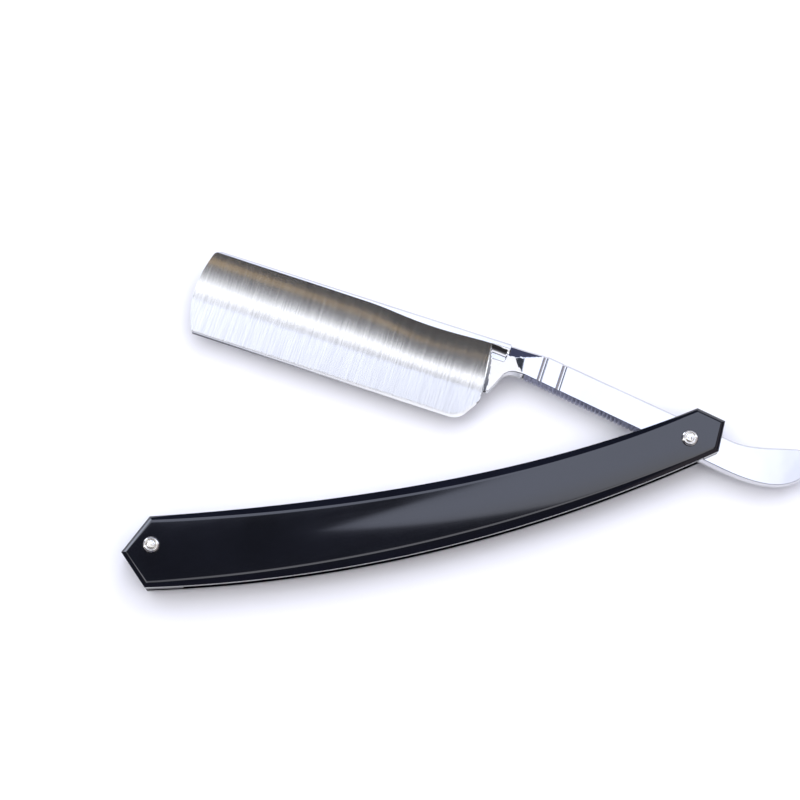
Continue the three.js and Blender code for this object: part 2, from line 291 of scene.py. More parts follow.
def ramp(tree, value, stops):
    node = add_node(tree, "ShaderNodeValToRGB")
    elements = node.color_ramp.elements
    while len(elements) < len(stops):
        elements.new(0.5)
    for element, (position, colour) in zip(elements, stops):
        element.position = position
        element.color = (*colour, 1)
    tree.links.new(value.socket, node.inputs["Fac"])
    return node.outputs["Color"]


def bump(tree, shader, height, distance, strength):
    node = add_node(tree, "ShaderNodeBump")
    node.inputs["Strength"].default_value = strength
    node.inputs["Distance"].default_value = distance
    tree.links.new(height.socket, node.inputs["Height"])
    tree.links.new(node.outputs["Normal"], shader.inputs["Normal"])


print("material helpers ready")


# %% Polished steel
def polished_steel():
    material, tree, shader = new_material("polished_steel")
    shader.inputs["Metallic"].default_value = 1
    place = pattern_place(tree, (1, 1, 1))
    patches = noise(tree, place, 90)
    wave = noise(tree, place, 220, 1.0)
    colour = ramp(tree, patches, [(0.3, (0.60, 0.60, 0.61)), (0.7, (0.68, 0.68, 0.68))])
    tree.links.new(colour, shader.inputs["Base Color"])
    polish = patches * 0.06 + 0.05
    tree.links.new(polish.socket, shader.inputs["Roughness"])
    bump(tree, shader, wave, 0.02 * mm, 0.25)
    return material


polished = polished_steel()
print("made", polished.name)

# %% [markdown]
# ## Finish: ground steel
#
# The hollow is left satin from the grinding wheel. The wheel's lines run square to the spine,
# from back to edge, so the pattern is stretched that way: a noise that changes fast along
# the blade and slowly across it. It moves the roughness, the colour and the surface at once.
# A ground surface also smears a reflection across its lines and keeps it sharp along them,
# so the finish is anisotropic, with its direction tied to the blade.
#
# The filed underside of the tang is a third finish: its marks and roughness are the file's, its
# darker bluish colour is painted shade.

# %% Ground steel
open_angle = math.radians(29.6)
blade_turn = math.pi - open_angle


def ground_steel():
    material, tree, shader = new_material("ground_steel")
    shader.inputs["Metallic"].default_value = 1
    turned = add_node(tree, "ShaderNodeVectorRotate", rotation_type="Z_AXIS")
    turned.inputs["Angle"].default_value = -blade_turn
    coordinates = add_node(tree, "ShaderNodeTexCoord")
    tree.links.new(coordinates.outputs["Object"], turned.inputs["Vector"])
    stretch = add_node(tree, "ShaderNodeMapping")
    stretch.inputs["Scale"].default_value = (1, 0.018, 0.018)
    tree.links.new(turned.outputs["Vector"], stretch.inputs["Vector"])
    lines = noise(tree, stretch.outputs["Vector"], 5200, 4.0, 0.7)
    bands = noise(tree, stretch.outputs["Vector"], 900, 2.0)
    mixed = lines * 0.92 + bands * 0.08
    colour = ramp(tree, mixed, [(0.38, (0.68, 0.68, 0.68)), (0.62, (0.81, 0.81, 0.80))])
    tree.links.new(colour, shader.inputs["Base Color"])
    grain = mixed * 0.12 + 0.16
    tree.links.new(grain.socket, shader.inputs["Roughness"])
    shader.inputs["Anisotropic"].default_value = 0.85
    along = add_node(tree, "ShaderNodeCombineXYZ")
    along.inputs["X"].default_value = math.cos(blade_turn)
    along.inputs["Y"].default_value = math.sin(blade_turn)
    follow = add_node(tree, "ShaderNodeVectorTransform", convert_from="OBJECT", convert_to="WORLD")
    tree.links.new(along.outputs[0], follow.inputs[0])
    tree.links.new(follow.outputs[0], shader.inputs["Tangent"])
    bump(tree, shader, lines, 0.006 * mm, 0.3)
    return material


ground = ground_steel()
print("made", ground.name)


# %% Filed steel with painted shade
def filed_steel_with_painted_shade():
    material, tree, shader = new_material("filed_steel_with_painted_shade")
    shader.inputs["Metallic"].default_value = 1
    marks = noise(tree, pattern_place(tree, (1, 1, 0.15)), 3800, 3.0, 0.6)
    # The darker, bluish base colour is painted shade; the roughness and the bump are the marks of
    # the file.
    colour = ramp(tree, marks, [(0.3, (0.26, 0.27, 0.36)), (0.7, (0.40, 0.41, 0.50))])
    tree.links.new(colour, shader.inputs["Base Color"])
    grain = marks * 0.2 + 0.3
    tree.links.new(grain.socket, shader.inputs["Roughness"])
    bump(tree, shader, marks, 0.02 * mm, 0.4)
    return material


filed_and_shaded = filed_steel_with_painted_shade()
print("made", filed_and_shaded.name)

# %% [markdown]
# ## The blade's blank
#
# A razor blade starts as a forged blank, thick along the back. Two rails draw its outline:
# the back rail and the edge rail, which is also the underside of the tang. Columns of points
# run from one rail to the other, so a crease can lie along a row or a column and stay sharp.
# The plan is flat at first. Every point carries a few numbers for the next step, such as
# which face of the blade it is on, how thick the forging is there, and how far it is from
# the back.

# %% Sizes of the blade, in millimetres
toe_to_wedge_pin = 6
blade_reach = pin_spacing / mm - toe_to_wedge_pin
toe_start = 114.0
toe_end = blade_reach - 3
blade_width = 22.0
back_offset = 9.35
edge_offset = blade_width - back_offset
spine_thickness = 6.0
toe_thickness = 5.5
shoulder = 52.6
heel_reach = 6.4
hollow_end_reach = 1.72
ridge = shoulder - 4.6
ridge_width = 1.3
arch = shoulder - 8.6
knee = shoulder - 13.1
arch_offset = -2.3
underside_at_pivot = 3.5
back_at_pivot = -4.61
tail_reach = 31.7
tail_root = -8.0
tail_back_root = -10.0
tang_thickness = 3.5
shank_thickness = 4.7
tail_thickness = 2.6
underside_slope = (underside_at_pivot - arch_offset) / arch
tang_back_slope = (back_at_pivot + back_offset) / knee
print("edge is", round(toe_end - shoulder - heel_reach, 1), "mm long")

# %% [markdown]
# The jimps, the cross notches under the tang, set where the columns have to stand: one column
# at each side of a notch and one at its bottom. The rest of the columns are placed as densely
# as the curves of each region ask for.

# %% Stations of the columns
jimp_pitch = 1.06
jimp_gap = 0.62
jimp_depth = 0.32
first_jimp = arch + 1
last_jimp = 10.0
flutes = (shoulder - 17.7, shoulder - 12.5)
flute_radius = 0.75
flute_depth = 0.35
flute_half_span = 0.72
tang_end = 46
hollow_begin = 60


def column_stations():
    count = int((first_jimp - last_jimp) / jimp_pitch) + 1
    starts = first_jimp - jimp_pitch * np.arange(count)
    notches = [starts, starts - jimp_gap / 2, starts - jimp_gap]
    flute_steps = [
        flute + np.linspace(-flute_half_span, flute_half_span, 13) for flute in flutes
    ]
    tang = np.linspace(tail_root, tang_end, 70)
    shoulder_steps = np.arange(tang_end, hollow_begin, 0.14)
    hollow = np.arange(hollow_begin, toe_start, 1.5)
    toe = np.linspace(toe_start, toe_end, 34)
    regions = [*notches, *flute_steps, tang, shoulder_steps, hollow, toe]
    return np.unique(np.concatenate(regions).round(3))


stations = column_stations()
print("columns from pivot to toe", len(stations))


# %% The edge rail
def along_shoulder(points):
    return [(shoulder + along, edge_offset - up) for along, up in points]


def edge_rail(station):
    heel_points = along_shoulder([(heel_reach, 0), (3.6, 0), (2.3, 2.5)])
    heel = quadratic(*heel_points, np.linspace(0, 1, 16))
    cheek_points = along_shoulder([(0.5, 5.3), (0.02, 6.2), (0.02, 7.2)])
    cheek = quadratic(*cheek_points, np.linspace(0, 1, 6))
    notch = along_shoulder([(-0.02, 8.6), (-1.2, 8.6)])
    fillet_points = [(arch + 5.1, -0.9), (arch + 4, arch_offset), (arch + 2.2, arch_offset)]
    fillet = quadratic(*fillet_points, np.linspace(0, 1, 9))
    corner = [
        (arch, arch_offset),
        (tail_root, arch_offset + (arch - tail_root) * underside_slope),
    ]
    points = np.array([(blade_reach, edge_offset), *heel, *cheek, *notch, *fillet, *corner])
    order = np.argsort(points[:, 0])
    return np.interp(station, points[order, 0], points[order, 1])


def back_rail(station):
    sloped = -back_offset + (knee - station) * tang_back_slope
    return np.where(station > knee, -back_offset, sloped)


shoulder_width = float(edge_rail(shoulder - 0.5) - back_rail(shoulder))
print("width at the shoulder", round(shoulder_width, 2), "mm")

# %% [markdown]
# Near the shoulder the columns lean, because the line where the hollow ends leans too. The
# tail has its own two curves, and its columns join points that lie equally far along them.
# The toe and the tip of the tail are closed by letting the last columns bulge out to a curve.

# %% Columns from rail to rail
shoulder_lean = 0.122
tip = -tail_reach
tip_back = (tip + 2.1, -7)
tip_under = (tip, -5.2)
tip_crowding = 0.9


def lean_shift(station):
    known = [42, 47.5, shoulder, 58, 76]
    return np.interp(station, known, [0, 0.73, hollow_end_reach, 2.6, 0])


def main_columns():
    under = np.column_stack([stations, edge_rail(stations)])
    leaned = stations + lean_shift(stations)
    leaned = np.minimum(leaned, toe_end)
    back = np.column_stack([leaned, back_rail(leaned)])
    return back, under


def tail_columns(count=46):
    share = (1 - np.linspace(0, 1, count, endpoint=False)) ** tip_crowding
    root = (tail_root, edge_rail(np.array([tail_root]))[0])
    back_root = (tail_back_root, float(back_rail(np.array([tail_back_root]))[0]))
    under = cubic(root, (tip + 8.7, 6.6), (tip + 1.2, 4), tip_under, share)
    back = cubic(back_root, (tip + 14.7, -2.6), (tip + 7.7, -6.6), tip_back, share)
    return back, under


def toe_curve(offset):
    corner = (blade_reach - 3.3, -back_offset)
    start = (blade_reach - 1.9, 1 - back_offset)
    pull = (blade_reach + 2.6, 12.4 - back_offset)
    end = (toe_end, edge_offset)
    points = np.array([corner, *quadratic(start, pull, end, np.linspace(0, 1, 60))])
    return np.interp(offset, points[:, 1], points[:, 0])


def tip_bulge(share):
    curve = quadratic(tip_back, (tip - 0.5, -7.3), tip_under, share)
    line = np.array(tip_back) * (1 - share[:, None]) + np.array(tip_under) * share[:, None]
    return curve - line


tail_back, tail_under = tail_columns()
main_back, main_under = main_columns()
backs = np.vstack([tail_back, main_back])
unders = np.vstack([tail_under, main_under])
print("columns in all", len(backs))

# %% [markdown]
# The rows divide every column into four bands: a bevel at the back, the flat of the spine,
# the hollow, and a narrow bevel along the edge or the underside. The line where the flat of
# the spine meets the hollow is not parallel to the back. Honing has widened the flat into a
# long lens towards the shoulder, and it narrows to almost nothing at the toe.

# %% Rows of each band
back_bevel_width = 0.45
rows_in_band = (3, 7, 54, 5)
smoothing_reach = 3.5
back_bevel_limit = 0.1
flat_limit = 0.45
lower_bevel_limit = 0.35
flat_past_bevel = 1.2


def spine_flat_line(station):
    known = [-60, 20, 44, 50, 54, 60, 66, 72, 78, 84, 100, 127]
    offset = [3.0, 2.6, 2.2, 1.6, 1.2, 1.55, 1.85, 1.85, 1.45, 0.85, 0.7, 0.55]
    nearby = np.linspace(-smoothing_reach, smoothing_reach, 15)
    return np.mean([np.interp(station + step, known, offset) for step in nearby], axis=0)


def lower_bevel_width(station):
    known = [-31.7, -26, -8, 10, 44, 46.2, 49, 51.4, 52.55, 52.65, 53.1, 54.9, 57, 59, 127]
    width = [0.3, 0.5, 0.8, 0.95, 0.95, 0.9, 0.6, 0.5, 0.5, 0.2, 0.5, 1.1, 0.95, 0.7, 0.7]
    return np.interp(station, known, width)


def row_shares(back, under):
    length = np.linalg.norm(under - back, axis=1)
    station = under[:, 0]
    bevel = np.minimum(back_bevel_width, back_bevel_limit * length)
    flat = np.maximum(spine_flat_line(back[:, 0]), bevel * flat_past_bevel)
    flat = np.minimum(flat, flat_limit * length)
    lower = np.minimum(lower_bevel_width(station), lower_bevel_limit * length)
    edges = np.column_stack([0 * length, bevel, flat, length - lower, length]) / length[:, None]
    rows = [edges[:, :1]]
    for band, count in enumerate(rows_in_band):
        steps = np.arange(1, count + 1) / count
        rows.append(edges[:, band, None] * (1 - steps) + edges[:, band + 1, None] * steps)
    return np.hstack(rows)


shares = row_shares(backs, unders)
plan = backs[:, None, :] * (1 - shares[..., None]) + unders[:, None, :] * shares[..., None]
print("rows", shares.shape[1], "points on a face", shares.size)

# %% Toe and tip
toe_weight = np.clip((plan[..., 0] - toe_start) / (toe_end - toe_start), 0, 1)
plan[..., 0] += toe_weight * (toe_curve(plan[..., 1]) - toe_end)
tip_columns = 14
for column in range(tip_columns):
    plan[column] += tip_bulge(shares[column]) * (1 - column / tip_columns) ** 2
print("toe reaches", round(float(plan[..., 0].max()), 2), "mm")


# %% Forged thickness
cove_length = 4
cove_step = 0.05
lean_centre = 49
lean_reach = 6
lean_axis_offset = -6


def forged_half(station):
    points = [
        (-tail_reach - 4, tail_thickness / 2),
        (-8, tang_thickness / 2),
        (8, tang_thickness / 2),
        (arch, shank_thickness / 2),
    ]
    cove = np.linspace(0.1, 1, 10)
    rise = (spine_thickness - shank_thickness) / 2 - cove_step
    points += [(arch + cove_length * k, shank_thickness / 2 + rise * k * k) for k in cove]
    points += [
        (ridge + ridge_width, spine_thickness / 2),
        (shoulder, spine_thickness / 2),
        (blade_reach + 4, toe_thickness / 2),
    ]
    known = np.array(points)
    return np.interp(station, known[:, 0], known[:, 1])


near_ridge = np.abs(plan[..., 0] - lean_centre) < lean_reach
ridge_line = plan[..., 0] + shoulder_lean * (plan[..., 1] - lean_axis_offset) * near_ridge
forged = forged_half(ridge_line)
print("half thickness from", round(float(forged.min()), 2), "to", round(float(forged.max()), 2))

# %% [markdown]
# The blank is closed: an upper and a lower sheet of quads, and a strip of quads round the
# outline. Each point learns its distance from the back and from the underside here, while it
# is still easy to say on which row it is. The grinding reads these distances, and so does the
# step that gives the faces their finishes.


# %% Build the blank
def sheet_faces(columns, rows, first, flipped):
    faces = []
    for i in range(columns - 1):
        for j in range(rows - 1):
            a = first + i * rows + j
            quad = (a, a + rows, a + rows + 1, a + 1)
            faces.append(quad[::-1] if flipped else quad)
    return faces


def rim_loop(columns, rows):
    bottom = [i * rows for i in range(columns)]
    right = [(columns - 1) * rows + j for j in range(1, rows)]
    top = [i * rows + rows - 1 for i in range(columns - 2, -1, -1)]
    left = [j for j in range(rows - 2, 0, -1)]
    return bottom + right + top + left


def write_attribute(obj, name, values):
    attribute = obj.data.attributes.new(name, "FLOAT", "POINT")
    attribute.data.foreach_set("value", np.asarray(values, np.float32))


def blade_blank():
    columns, rows = shares.shape
    count = columns * rows
    flat = np.column_stack([plan.reshape(-1, 2), np.zeros(count)]) * mm
    faces = sheet_faces(columns, rows, 0, False) + sheet_faces(columns, rows, count, True)
    loop = rim_loop(columns, rows)
    for here, there in zip(loop, loop[1:] + loop[:1]):
        faces.append((there, here, here + count, there + count))
    obj = object_from("blade_ground", np.vstack([flat, flat]), faces)
    write_attribute(obj, "face_side", np.repeat([1.0, -1.0], count))
    length = np.linalg.norm(unders - backs, axis=1)[:, None]
    point_facts = {
        "forged": forged,
        "from_back": shares * length,
        "from_under": (1 - shares) * length,
        "flat_line": spine_flat_line(backs[:, 0])[:, None] + 0 * shares,
        "bevel_line": lower_bevel_width(unders[:, 0])[:, None] + 0 * shares,
    }
    for name, values in point_facts.items():
        write_attribute(obj, name, np.tile(values.ravel() * mm, 2))
    return obj


blade = blade_blank()
print("blank has", len(blade.data.polygons), "faces")

# %% [markdown]
# ## Grinding the blade
#
# What the wheel does is a rule, so Geometry Nodes do it. At each point the height is the
# lowest of several surfaces: the forging itself, the round hollow of the wheel, the cheek
# that thins towards the belly, and the bevels. The hollow is an arc that starts at the flat
# of the spine and runs out, without a corner, into a straight taper to the edge. The flutes
# and the jimps repeat, so they are part of the rule as well.

# %% The grinding tree
grinding_labels = [
    "Tangent offset", "Tangent height", "Edge offset", "Edge height", "Back offset",
    "Hollow end", "Hollow end lean", "Ramp slope",
    "Cheek height", "Cheek start", "Cheek fall", "Cheek end",
    "Panel start", "Panel width", "Panel depth",
    "Facet start", "Facet end", "Facet width", "Facet fall",
    "First flute", "Second flute", "Flute radius", "Flute depth",
    "First jimp", "Last jimp", "Jimp pitch", "Jimp gap", "Jimp depth",
    "Underside share", "Honed edge",
]
grinding_dials = [(label, "Float") for label in grinding_labels] + [("Material", "Material")]
steep = 10
cheek_fade = 0.4
panel_ramp = 0.5 * mm
tang_gap = 1.5 * mm
corner_softness = 0.22
corner_share = 0.8
corner_height = 0.955
hair = 0.001 * mm


def named(tree, name):
    node = tree.nodes.new("GeometryNodeInputNamedAttribute")
    node.data_type = "FLOAT"
    node.inputs["Name"].default_value = name
    return Field(tree, node.outputs["Attribute"])


def hollow_height(d, s, t, forged_here, start):
    rise = d["Tangent height"] - d["Edge height"]
    run = d["Edge offset"] - d["Tangent offset"]
    length = (rise * rise + run * run).root()
    across, up = rise / length, run / length
    reach_t = start - d["Tangent offset"]
    reach_z = forged_here - d["Tangent height"]
    along_normal = reach_t * across + reach_z * up
    radius = (reach_t * reach_t + reach_z * reach_z) / (along_normal * 2)
    centre_t = d["Tangent offset"] + radius * across
    centre_z = d["Tangent height"] + radius * up
    off = t - centre_t
    arc = centre_z - (radius * radius - off * off).most(0).root()
    taper = d["Tangent height"] - (t - d["Tangent offset"]) * (rise / run)
    outside = t.above(d["Tangent offset"])
    in_hollow = arc * (1 - outside) + taper * outside
    end = d["Hollow end"] - (t + d["Back offset"]) * d["Hollow end lean"]
    past_end = (end - s).most(0)
    before_start = (start - t).most(0)
    return in_hollow + past_end * d["Ramp slope"] + before_start * steep


def grinding_tree():
    tree, start, end = geometry_tree("blade_grinding", grinding_dials)
    d = {label: Field(tree, start.outputs[label]) for label in grinding_labels}
    position = tree.nodes.new("GeometryNodeInputPosition")
    split = tree.nodes.new("ShaderNodeSeparateXYZ")
    tree.links.new(position.outputs[0], split.inputs[0])
    s, t = Field(tree, split.outputs["X"]), Field(tree, split.outputs["Y"])
    side = named(tree, "face_side")
    forged_here = named(tree, "forged")
    from_back = named(tree, "from_back")
    from_under = named(tree, "from_under")
    flat_line = named(tree, "flat_line")
    bevel_line = named(tree, "bevel_line")

    hollow_start = flat_line - d["Back offset"]
    height = forged_here.least(hollow_height(d, s, t, forged_here, hollow_start))

    cheek = d["Cheek height"] - (t - d["Cheek start"]).most(0) * d["Cheek fall"]
    fade_out = ((d["Cheek end"] - s) * cheek_fade).most(0)
    height = height.least(cheek + fade_out + s.above(d["Hollow end"]))

    panel_share = ((t - hollow_start) / d["Panel width"]).most(0).least(1)
    panel_end = ((s - d["Panel start"]) / panel_ramp).most(0).least(1)
    panel = (1 - (1 - panel_share) * (1 - panel_share)) * d["Panel depth"] * panel_end
    height = height.least(forged_here - panel + s.above(d["Hollow end"]))

    facet_share = (s - d["Facet start"]) / (d["Facet end"] - d["Facet start"])
    facet_width = facet_share.most(0) * d["Facet width"] * s.below(d["Facet end"])
    height = height.least(forged_here - (facet_width - from_back).most(0) * d["Facet fall"])

    to_first = (s - d["First flute"]).size()
    to_second = (s - d["Second flute"]).size()
    off = to_first.least(to_second)
    dip = (d["Flute radius"] * d["Flute radius"] - off * off).most(0).root()
    dip = (dip - d["Flute radius"] + d["Flute depth"]).most(0)
    height = height - dip

    back_bevel = (back_bevel_width * mm - from_back).most(0)
    height = height - back_bevel

    on_tang = s.below(d["Hollow end"] - tang_gap)
    share = (from_under / bevel_line).least(1)
    soft_corner = 1 - (1 - share) * corner_softness
    steepness = (corner_height - d["Underside share"]) / corner_share
    steep_part = share * steepness + d["Underside share"]
    tang_bevel = height * soft_corner.least(steep_part)
    honed = height * share + d["Honed edge"] * (1 - share)
    height = tang_bevel * on_tang + honed * (1 - on_tang)

    phase = (d["First jimp"] - s).wrapped(d["Jimp pitch"])
    half_gap = d["Jimp gap"] / 2
    notch = (1 - (phase - half_gap).size() / half_gap).most(0)
    in_row = s.below(d["First jimp"] + hair) * s.above(d["Last jimp"])
    lift = notch * in_row * d["Jimp depth"] * (1 - share)

    join = tree.nodes.new("ShaderNodeCombineXYZ")
    tree.links.new(s.socket, join.inputs["X"])
    tree.links.new((t - lift).socket, join.inputs["Y"])
    tree.links.new((height * side).socket, join.inputs["Z"])
    place = tree.nodes.new("GeometryNodeSetPosition")
    tree.links.new(start.outputs["Geometry"], place.inputs["Geometry"])
    tree.links.new(join.outputs[0], place.inputs["Position"])
    finish_tree(tree, start, end, place.outputs["Geometry"])
    return tree


tree = grinding_tree()
print("grinding tree has", len(tree.nodes), "nodes")

# %% Grind it
run_tree(blade, tree, {
    "Tangent offset": (edge_offset - 8.2) * mm,
    "Tangent height": 0.24 * mm,
    "Edge offset": edge_offset * mm,
    "Edge height": 0.06 * mm,
    "Back offset": back_offset * mm,
    "Hollow end": (shoulder + hollow_end_reach) * mm,
    "Hollow end lean": shoulder_lean,
    "Ramp slope": 1.6,
    "Cheek height": spine_thickness / 2 * mm,
    "Cheek start": (1.2 - back_offset) * mm,
    "Cheek fall": math.tan(math.radians(7)),
    "Cheek end": arch * mm,
    "Panel start": (ridge + ridge_width) * mm,
    "Panel width": 2.4 * mm,
    "Panel depth": 0.45 * mm,
    "Facet start": 39.6 * mm,
    "Facet end": 49.3 * mm,
    "Facet width": 3.6 * mm,
    "Facet fall": math.tan(math.radians(25)),
    "First flute": flutes[0] * mm,
    "Second flute": flutes[1] * mm,
    "Flute radius": flute_radius * mm,
    "Flute depth": flute_depth * mm,
    "First jimp": first_jimp * mm,
    "Last jimp": last_jimp * mm,
    "Jimp pitch": jimp_pitch * mm,
    "Jimp gap": jimp_gap * mm,
    "Jimp depth": jimp_depth * mm,
    "Underside share": 0.45,
    "Honed edge": 0.012 * mm,
    "Material": polished,
})
print("ground blade:", len(blade.data.vertices), "points")

# %% [markdown]
# Three finishes meet on a blade. The hollow is satin: every face past the end of the hollow
# and below the flat of the spine, down to the honed bevel of the edge. The underside of the
# tang is left as the file left it, for grip, and carries the filed finish with its painted
# shade. Along the tail a thin strip at the top of the lower bevel takes the same dark finish
# as a painted dark line. All the rest is polished. The pivot hole is drilled with a Boolean,
# as on the real blade. At the end the blade is turned open and lifted to the middle level.


# %% Drill, finish and place
blade_hole_radius = 0.88
blade_drill_length = 20
filed_end = -3
# Above this share of the lower bevel, the tail gets a thin painted dark line.
tail_dark_line_share = 0.8


def drill(obj, radius, depth, spot=(0, 0)):
    drill_mesh = bmesh.new()
    bmesh.ops.create_cone(
        drill_mesh, cap_ends=True, segments=64, radius1=radius, radius2=radius, depth=depth,
        matrix=Matrix.Translation((*spot, 0)),
    )
    mesh = bpy.data.meshes.new("drill")
    drill_mesh.to_mesh(mesh)
    drill_mesh.free()
    tool = bpy.data.objects.new("drill", mesh)
    bpy.context.scene.collection.objects.link(tool)
    modifier = obj.modifiers.new("drill", "BOOLEAN")
    modifier.object = tool
    modifier.solver = "EXACT"
    graph = bpy.context.evaluated_depsgraph_get()
    obj.data = bpy.data.meshes.new_from_object(obj.evaluated_get(graph))
    obj.modifiers.clear()
    bpy.data.objects.remove(tool)


def point_values(obj, name):
    values = np.zeros(len(obj.data.vertices), np.float32)
    obj.data.attributes[name].data.foreach_get("value", values)
    return values


def paint_faces(obj):
    obj.data.materials.clear()
    for material in (polished, ground, filed_and_shaded):
        obj.data.materials.append(material)
    corners = [list(face.vertices) for face in obj.data.polygons]
    share = point_values(obj, "from_under") / point_values(obj, "bevel_line")
    share = np.array([share[points].mean() for points in corners])
    centres = np.array([face.center for face in obj.data.polygons]) / mm
    s, t = centres[:, 0], centres[:, 1]
    hollow_end = shoulder + hollow_end_reach - (t + back_offset) * shoulder_lean
    in_hollow = (s > hollow_end) & (t + back_offset > spine_flat_line(s)) & (share > 1)
    # The tang's filed band with its painted shade, and the tail's thin painted dark line.
    filed_band_and_dark_line = (s < arch) & (share < 1) & ((s > filed_end) | (share > tail_dark_line_share))
    slots = np.where(in_hollow, 1, np.where(filed_band_and_dark_line, 2, 0)).astype(np.int32)
    obj.data.polygons.foreach_set("material_index", slots)


paint_faces(blade)
drill(blade, blade_hole_radius * mm, blade_drill_length * mm)
smooth_but_crisp(blade, degrees=7)
opened = Matrix.Rotation(blade_turn, 4, "Z")
blade.data.transform(Matrix.Translation((0, 0, middle)) @ opened)
for name in ("face_side", "forged", "from_back", "from_under", "flat_line", "bevel_line"):
    if name in blade.data.attributes:
        blade.data.attributes.remove(blade.data.attributes[name])
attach(blade, "blade")
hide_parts("blade")
print("blade triangles", sum(len(p.vertices) - 2 for p in blade.data.polygons))

# %% [markdown]
# ## Finish: black scales
#
# The scales are a dense dark plastic, buffed to a deep gloss. Under strong light it is very
# slightly blue, and it shows faint clouding and the fine hairlines of handling. The gloss
# comes from a clear coat over a smooth body, and the hairlines from a stretched noise.


# %% Black scale plastic
def scale_plastic():
    material, tree, shader = new_material("black_scale_plastic")
    place = pattern_place(tree, (1, 1, 1))
    clouds = noise(tree, place, 60, 4.0)
    colour = ramp(tree, clouds, [(0.3, (0.0016, 0.0019, 0.0035)), (0.7, (0.0034, 0.0040, 0.0075))])
    tree.links.new(colour, shader.inputs["Base Color"])
    hairs = noise(tree, pattern_place(tree, (0.05, 1, 1), math.radians(-6)), 2600, 3.0)
    gloss = clouds * 0.05 + hairs * 0.04 + 0.02
    tree.links.new(gloss.socket, shader.inputs["Roughness"])
    shader.inputs["IOR"].default_value = 1.5
    shader.inputs["Coat Weight"].default_value = 0.6
    shader.inputs["Coat Roughness"].default_value = 0.03
    wave = noise(tree, pattern_place(tree, (0.3, 1, 1)), 130, 1.0)
    bump(tree, shader, wave, 0.05 * mm, 0.12)
    return material


black = scale_plastic()
print("made", black.name)

# %% [markdown]
# ## The scales
#
# Each scale is a long curved slab with faceted ends and a broad bevel round its outer face.
# The bevel is narrow at the ends and about twice as wide in the middle, so the inner outline
# is not a plain copy of the outer one. The outline is a closed loop in two halves that match
# point for point: the upper run and the lower run, from the tip at the wedge end to the tip
# at the pivot end. The outer face is a ruled grid between them, slightly crowned as a hand
# buffed face is, and the sides and bevels are rings round it.

# %% Outline of a scale, in millimetres
curve_steps = 110
facet_steps = 12
bevel_at_ends = 1.05
bevel_in_middle = 1.95
bevel_fullness = 0.8


def scale_runs():
    spacing = pin_spacing / mm
    tip = np.array((-7.7 - spacing, -0.2))
    upper_left = (0.8 - spacing, 7.2)
    lower_left = (-3.6 - spacing, -10)
    upper_right = (3.7, 7.2)
    lower_right = (6.45, -4.5)
    point = (9.75, 2.6)
    curve = np.linspace(0, 1, curve_steps + 1)
    facet = np.linspace(0, 1, facet_steps, endpoint=False)[:, None]
    last = np.linspace(0, 1, facet_steps + 1)[1:, None]
    upper = np.vstack([
        tip * (1 - facet) + np.array(upper_left) * facet,
        quadratic(upper_left, (-52, -3.7), upper_right, curve),
        np.array(upper_right) * (1 - last) + np.array(point) * last,
    ])
    lower = np.vstack([
        tip * (1 - facet) + np.array(lower_left) * facet,
        quadratic(lower_left, (-67.8, -21.9), lower_right, curve),
        np.array(lower_right) * (1 - last) + np.array(point) * last,
    ])
    return upper, lower


def bevel_width(x):
    spacing = pin_spacing / mm
    along = np.clip((x + spacing) / spacing, 0, 1)
    fullness = np.sin(math.pi * along) ** bevel_fullness
    return bevel_at_ends + (bevel_in_middle - bevel_at_ends) * fullness


def inset_loop(loop, distance):
    before = loop - np.roll(loop, 1, axis=0)
    after = np.roll(loop, -1, axis=0) - loop
    normals = []
    for step in (before, after):
        step = step / np.linalg.norm(step, axis=1)[:, None]
        normals.append(np.column_stack([-step[:, 1], step[:, 0]]))
    joined = normals[0] + normals[1]
    shared = 1 + (normals[0] * normals[1]).sum(axis=1)
    return loop + joined / shared[:, None] * distance[:, None]


upper_run, lower_run = scale_runs()
outline = np.vstack([lower_run, upper_run[-2:0:-1]])
print("scale is", round(float(np.ptp(outline[:, 0])), 1), "mm long,", len(outline), "points round")

# %% [markdown]
# The section of the rim is a short list: the inner edge, the straight side, the bevel, and
# the edge of the face. Each corner is rounded by two extra rings, which is what catches a
# fine line of light. The bevel is cut a little less deep where it is narrow. The crown of the
# face fades out towards both tips, so that the facets there stay flat and even.
#
# Each ring of the rim is three numbers: a fixed distance in from the outline, a further
# distance as a share of the bevel's width, and a height above the inner side of the scale.


# %% Rings round the rim
face_crown = 0.06
crown_fade = 8
drop_at_ends = 0.86
drop_in_middle = 1.1
face_rows = 24
back_rows = 6


def rim_rings(thickness, drop, crown):
    side_top = thickness - drop
    soft = 0.12
    return [
        (0.12, 0, 0.0),
        (0.03, 0, 0.05),
        (0.0, 0, 0.14),
        (0.0, 0, side_top - soft),
        (0.02, 0, side_top - 0.04),
        (0.0, 0.03, side_top),
        (0.0, 0.09, side_top + 0.09 * drop),
        (0.0, 0.93, side_top + 0.94 * (drop - crown)),
        (0.0, 0.985, side_top + 0.99 * (drop - crown)),
        (0.0, 1.04, side_top + drop - crown),
    ]


def scale_mesh(name, face_level, outward):
    thickness = (front_outer - front_inner) / mm
    widths = bevel_width(outline[:, 0])
    drops = np.interp(
        widths, [bevel_at_ends, bevel_in_middle], [drop_at_ends, drop_in_middle],
    )
    count = len(outline)
    points, faces = [], []
    sections = rim_rings(thickness, drops, face_crown)
    for fixed, share, height in sections:
        ring = inset_loop(outline, fixed + share * widths)
        heights = np.broadcast_to(height, count)
        points.extend((x, y, z) for (x, y), z in zip(ring, heights))
    rings = len(sections)
    for ring in range(rings - 1):
        for i in range(count):
            a, b = ring * count + i, ring * count + (i + 1) % count
            faces.append((a, b, b + count, a + count))
    top = (rings - 1) * count
    faces += face_grid(points, top, count)
    faces += back_grid(points, count)
    obj = object_from(name, [(x * mm, y * mm, z * mm) for x, y, z in points], faces)
    place = Matrix.Translation((0, 0, face_level)) @ Matrix.Diagonal((1, 1, outward, 1))
    obj.data.transform(place)
    clean_normals(obj)
    return obj


